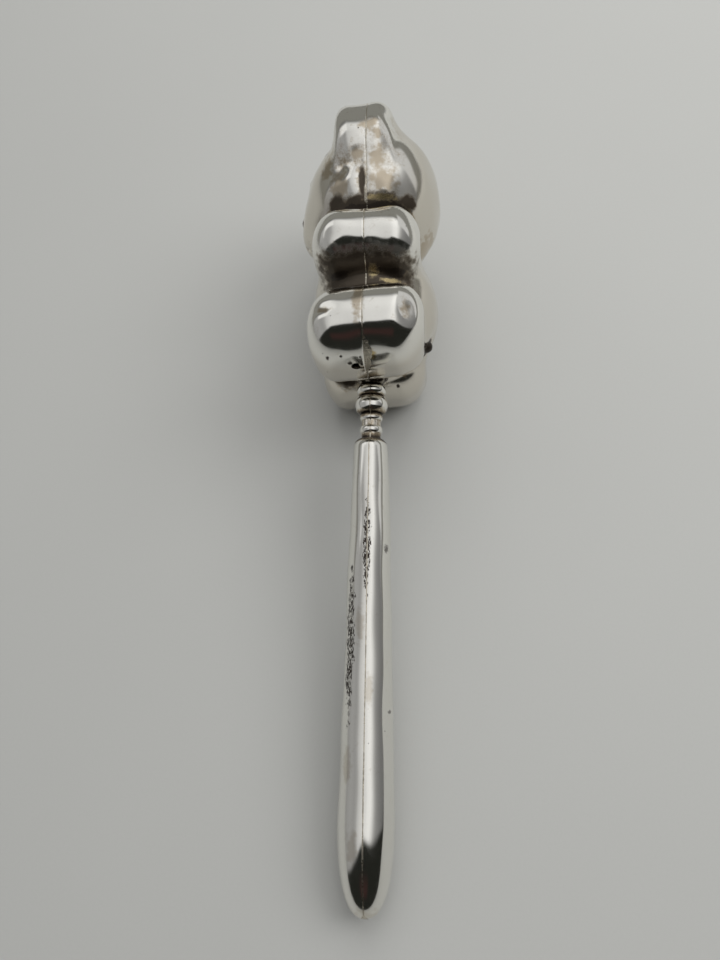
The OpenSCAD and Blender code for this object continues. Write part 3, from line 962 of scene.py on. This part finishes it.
def handle_outline():
    """Stations down the handle as rows of y, half thickness and half width."""
    rows = [(0, GROOVE_D / 2, GROOVE_D / 2)]
    for middle, length, d in BEADS:
        for a in np.radians(np.linspace(-84, 84, 15)):
            r = GROOVE_D / 2 + (d - GROOVE_D) / 2 * math.cos(a)
            rows.append((middle - length / 2 * math.sin(a), r, r))
    stations = [SHOULDER_LEN * (1 - math.cos(a)) for a in np.radians(np.linspace(0, 84, 10))]
    stations += list(np.arange(SHOULDER_LEN, GRIP_LEN - BUTT_LEN, 0.6))
    stations += [GRIP_LEN - BUTT_LEN * (1 - math.sin(a))
        for a in np.radians(np.linspace(0, 89, 40))]
    return np.array(rows + [(SHOULDER_Y - s, grip_radius(s, THICK_TOP, THICK_END, BUTT_BLUNT),
        grip_radius(s, WIDE_TOP, WIDE_END, BUTT_POINT)) for s in stations])


outline = handle_outline()
print(f"handle outline: {len(outline)} stations, end at y = {outline[-1, 0]:.2f} mm")

# %% Loft the two halves of the handle
AROUND = 40
HANDLE_RIM_DROP = 0.006


def grip_swell(p):
    """How far the waves of the sheet lift the grip, drawn out along it."""
    return 0.7 * waves(p * (1, 0.45, 1) + 40) * (p[:, 1] < SHOULDER_Y)


def handle_half(side):
    """Points and faces of one closed half: side is -1 for the front, 1 for the back."""
    y, thick, wide = outline.T
    down, grow = np.gradient(y), np.gradient(wide)
    run = np.hypot(down, grow)
    grip = y < SHOULDER_Y - SHOULDER_LEN / 4
    in_y = np.where(grip, y - HANDLE_WALL * grow / run, y)
    in_thick, in_wide = (np.where(grip, np.maximum(r + HANDLE_WALL * down / run, 0.05 + SEAM / 2),
        BORE_D / 2) for r in (thick, wide))
    angles = np.linspace(-math.pi / 2, math.pi / 2, AROUND + 1)
    rings = []
    for ys, ts, ws in ((y, thick, wide), (in_y, in_thick, in_wide)):
        x = SEAM / 2 + np.maximum(ts - SEAM / 2, 0)[:, None] * np.cos(angles)
        rings.append(np.stack([side * x, np.repeat(ys[:, None], AROUND + 1, 1),
            ws[:, None] * np.sin(angles)], -1).reshape(-1, 3))
    outer, inner = rings
    around = unit(outer * (1, 0, 1))
    outer = outer + grip_swell(outer)[:, None] * around
    rows, cols = len(y), AROUND + 1
    edge = np.tile(np.arange(cols) % AROUND == 0, rows)
    outer[edge] -= HANDLE_RIM_DROP * around[edge]
    outer[:, 0] = side * np.maximum(side * outer[:, 0], SEAM / 2)
    n = len(outer)
    walls = [[i * cols + j, i * cols + j + 1, (i + 1) * cols + j + 1, (i + 1) * cols + j]
        for i in range(rows - 1) for j in range(AROUND)]
    last = (rows - 1) * cols
    walls.append([last + j for j in range(cols)])
    walls += [[k + n for k in reversed(f)] for f in walls]
    for first, way in ((0, 1), (AROUND, -1)):
        for a in range(first, last, cols):
            walls.append([a, a + cols, a + cols + n, a + n][::way])
    walls += [[j + 1, j, j + n, j + 1 + n] for j in range(AROUND)]
    walls.append([last, last + AROUND, last + AROUND + n, last + n])
    return np.concatenate([outer, inner]), [f[::side] for f in walls]


def groove_at(p):
    """1 deep in a groove of the collar, 0 on its beads and on the grip."""
    y, _, wide = outline[::-1].T
    beside = np.max([np.interp(p[:, 1] + shift, y, wide) for shift in (-1.1, -0.6, 0.6, 1.1)],
        axis=0)
    depth = beside - np.hypot(p[:, 0], p[:, 2])
    return np.clip(depth / 1.1, 0, 1) * (p[:, 1] > SHOULDER_Y - 1)


for side, node in ((-1, "handle_front_half"), (1, "handle_back_half")):
    half_points, half_faces = handle_half(side)
    mesh = mesh_of(node + "_struck", half_points, half_faces, handle_silver)
    set_number(mesh, "crease", groove_at(half_points))
    dress(mesh, "rattle", "handle_silver", node)

# %% [markdown]
# ## Solder along the seams
# The solder is a low bead that follows the seam all the way round, thin on the head and
# spread wide under the filed feet. It follows a path, so Geometry Nodes sweep it: an oval
# profile along the path, widened by the amount stored on each point and roughened by noise.

# %% The tree that sweeps a solder bead


def raised(tree, shape, tall):
    """The shape with each point moved out along its normal."""
    out_way = add(tree, "GeometryNodeInputNormal").outputs[0]
    rise = add(tree, "ShaderNodeVectorMath", {0: out_way, 3: tall}, operation="SCALE").outputs[0]
    return add(tree, "GeometryNodeSetPosition", {"Geometry": shape.outputs[0], "Offset": rise})


def deliver(tree, shape, finish, result):
    """Ends the tree: the shape is made smooth, real and finished."""
    shape = add(tree, "GeometryNodeSetShadeSmooth", {"Geometry": shape.outputs[0]})
    shape = add(tree, "GeometryNodeRealizeInstances", {0: shape.outputs[0]})
    shape = add(tree, "GeometryNodeSetMaterial", {"Geometry": shape.outputs[0], "Material": finish})
    tree.links.new(shape.outputs[0], result.inputs[0])
    print(f"{tree.name}: {len(tree.nodes)} nodes")


bead_tree, given, result = new_group("solder_bead", "GeometryNodeTree",
    [("Path", "NodeSocketGeometry", None), ("Bead width", FLOAT, 0.0003),
        ("Bead height", FLOAT, 0.0002), ("Unevenness", FLOAT, 0.4),
        ("Lumps per metre", FLOAT, 900.0), ("Step", FLOAT, 0.00025),
        ("Finish", "NodeSocketMaterial", None)],
    [("Bead", "NodeSocketGeometry")])
path = add(bead_tree, "GeometryNodeMeshToCurve", {"Mesh": given["Path"]})
path = add(bead_tree, "GeometryNodeResampleCurve", {"Curve": path.outputs[0],
    "Length": given["Step"]}, mode="LENGTH")
path = add(bead_tree, "GeometryNodeSetCurveNormal", {"Curve": path.outputs[0],
    "Normal": (1, 0, 0)}, mode="FREE")
oval = add(bead_tree, "GeometryNodeCurvePrimitiveCircle", {"Resolution": 12, "Radius": 0.5})
oval_size = add(bead_tree, "ShaderNodeCombineXYZ",
    {0: given["Bead width"], 1: given["Bead height"], 2: 1.0})
oval = add(bead_tree, "GeometryNodeTransform",
    {"Geometry": oval.outputs[0], "Scale": oval_size.outputs[0]})
here = add(bead_tree, "GeometryNodeInputPosition").outputs[0]
lumps = calc("SUBTRACT", noise(here, given["Lumps per metre"], 3.0), 0.5)
swell = calc("MULTIPLY_ADD", lumps, given["Unevenness"], 1.0)
bead = add(bead_tree, "GeometryNodeCurveToMesh", {"Curve": path.outputs[0],
    "Profile Curve": oval.outputs[0], "Scale": swell, "Fill Caps": True})
amount = add(bead_tree, "GeometryNodeInputNamedAttribute", {"Name": "solder_amount"},
    data_type="FLOAT").outputs["Attribute"]
seam_x = add(bead_tree, "ShaderNodeSeparateXYZ", {0: here}).outputs["X"]
aside = calc("SUBTRACT", seam_x, origin.x)
spread = times(aside, calc("SUBTRACT", amount, 1.0))
spread = times(spread, calc("MULTIPLY_ADD", lumps, 1.2, 1.0))
bead = add(bead_tree, "GeometryNodeSetPosition", {"Geometry": bead.outputs[0],
    "Offset": add(bead_tree, "ShaderNodeCombineXYZ", {0: spread}).outputs[0]})
rise = times(given["Bead height"], given["Unevenness"])
bead = raised(bead_tree, bead, times(lumps, rise))
deliver(bead_tree, bead, given["Finish"], result)

# %% Run a tree on a mesh and keep the result as a plain mesh


def grown(name, base, tree, **values):
    """The mesh that the tree makes from the base mesh, with its inputs by name."""
    sockets = {s.name: s.identifier for s in tree.interface.items_tree
        if s.item_type == "SOCKET" and s.in_out == "INPUT"}
    holder = stand(name, base)
    modifier = holder.modifiers.new(name, "NODES")
    modifier.node_group = tree
    for key, value in values.items():
        modifier[sockets[key.replace("_", " ")]] = value
    mesh = plain(holder)
    mesh.name = name
    return mesh


def path_mesh(name, points, amounts, closed):
    """A chain of points in the seam plane, each with its amount of solder."""
    mesh = mesh_of(name, points, [], silver_solder)
    n = len(points)
    mesh.edges.add(n if closed else n - 1)
    pairs = [(i, (i + 1) % n) for i in range(len(mesh.edges))]
    mesh.edges.foreach_set("vertices", np.array(pairs).ravel())
    set_number(mesh, "solder_amount", amounts)
    return mesh


# %% Solder of the bear's seam
SOLDER_SINK = 0.030
SOLDER_SPREAD = (  # place on the seam, how far it reaches, and how much wider the bead is
    ((7.5, 19.2), 5.5, 4.0), ((1.0, 16.6), 3.0, 6.0), ((-0.4, 13.5), 3.0, 4.5),
    ((7.5, -19.2), 5.5, 4.0), ((21, 18.8), 3.0, 0.8), ((31.5, 15), 3.0, 2.0), ((45, 17.6), 4, 0.8))

seam = bear_seam - SOLDER_SINK * unit(slope_of(sheet_bear, bear_seam))
amounts = np.ones(len(seam))
for middle, reach, more in SOLDER_SPREAD:
    away = np.linalg.norm(seam[:, 1:] - np.array(middle), axis=1) / reach
    amounts += more * np.exp(-(away ** 2))
mesh = grown("bear_seam_bead", path_mesh("bear_seam_path", seam, amounts, True), bead_tree,
    Bead_width=0.0003, Bead_height=0.000085, Unevenness=0.4, Finish=silver_solder)
dress(mesh, "rattle", "silver_solder", "bear_seam_solder")

# %% Solder of the handle's seam, up one side and down the other
HANDLE_SOLDER_SINK = 0.018
TIP_SPREAD, TIP_REACH = 3.5, 0.8
y, _, wide = outline.T
top_path = np.stack([0 * y, y, wide - HANDLE_RIM_DROP - HANDLE_SOLDER_SINK], 1)
low_path = top_path * (1, 1, -1)
top_path, low_path = (path + grip_swell(path)[:, None] * (0, 0, side)
    for path, side in ((top_path, 1), (low_path, -1)))
seam = np.concatenate([top_path, low_path[::-1]])
amounts = 1 + TIP_SPREAD * np.exp(-((seam[:, 1] - outline[-1, 0]) / TIP_REACH) ** 2)
mesh = grown("handle_seam_bead", path_mesh("handle_seam_path", seam, amounts, False), bead_tree,
    Bead_width=0.0003, Bead_height=0.00005, Unevenness=0.3, Finish=silver_solder)
dress(mesh, "rattle", "silver_solder", "handle_seam_solder")

# %% [markdown]
# ## The lump of solder at the neck
# The handle is soldered under the seat with an uneven lump. It is skinned from a field as
# the bear is, and stops at the bear's own surface.

# %% Neck lump
NECK_LUMPS = (  # middle and size of each lump
    ((0, 0.9, 0), (4.9, 3.4, 4.9)), ((1.5, 0.7, 1.5), (2.2, 1.7, 2.0)),
    ((-1.5, 1.0, 1.3), (2.2, 2.0, 2.2)), ((0.2, 0.6, 2.1), (1.8, 1.5, 1.6)),
    ((0.8, 1.3, -1.9), (2.4, 2.0, 2.0)), ((-1.4, 0.7, -1.4), (2.0, 1.6, 2.2)),
    ((2.3, 1.6, 0.2), (2.0, 1.6, 2.4)), ((-2.2, 1.7, -0.2), (1.8, 1.8, 2.0)))
NECK_GAP = 0.02


def neck(p):
    lump = ball(p, *NECK_LUMPS[0])
    for row in NECK_LUMPS[1:]:
        lump = join(lump, ball(p, *row), 0.5)
    lump = lump + 0.4 * waves(p * 3)
    lump = np.maximum(lump, NECK_GAP - p[:, 1])
    return np.maximum(lump, NECK_GAP - bear_skin(p))


neck_points, neck_faces = skin_field(neck, (-4, -0.4, -4), (4, 3.6, 4), 0.14)
neck_points = settle(neck, neck_points, turns=2)
dress(mesh_of("neck_lump", neck_points, neck_faces.tolist(), silver_solder), "rattle",
    "silver_solder", "neck_solder")

# %% [markdown]
# ## The pellets
# The rattle's sound comes from loose cast shot. Shot is never quite round, so one tree
# makes it from a ball with a little noise, and each pellet gets its own.

# %% The tree that casts one pellet
shot_tree, given, result = new_group("cast_shot", "GeometryNodeTree",
    [("Mould", "NodeSocketGeometry", None), ("Radius", FLOAT, 0.0013),
        ("Unevenness", FLOAT, 0.00004), ("Lumps per metre", FLOAT, 700.0), ("Which", FLOAT, 1.0),
        ("Finish", "NodeSocketMaterial", None)],
    [("Shot", "NodeSocketGeometry")])
round_shot = add(shot_tree, "GeometryNodeMeshIcoSphere",
    {"Radius": given["Radius"], "Subdivisions": 4})
here = add(shot_tree, "GeometryNodeInputPosition").outputs[0]
lumps = add(shot_tree, "ShaderNodeTexNoise", {"Vector": here, "W": given["Which"],
    "Scale": given["Lumps per metre"], "Detail": 2.0}, noise_dimensions="4D").outputs[0]
dip = times(calc("SUBTRACT", lumps, 1.0), given["Unevenness"])
deliver(shot_tree, raised(shot_tree, round_shot, dip), given["Finish"], result)

# %% Cast the pellets
for number in range(1, 9):
    low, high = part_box(f"pellet_{number}")
    mesh = grown(f"pellet_{number}_cast", bpy.data.meshes.new("mould"), shot_tree,
        Radius=(high.x - low.x) / 2, Which=float(number), Finish=steel_shot)
    mesh.transform(Matrix.Translation((low + high) / 2))
    dress(mesh, f"pellet_{number}", "steel_shot", f"pellet_{number}")
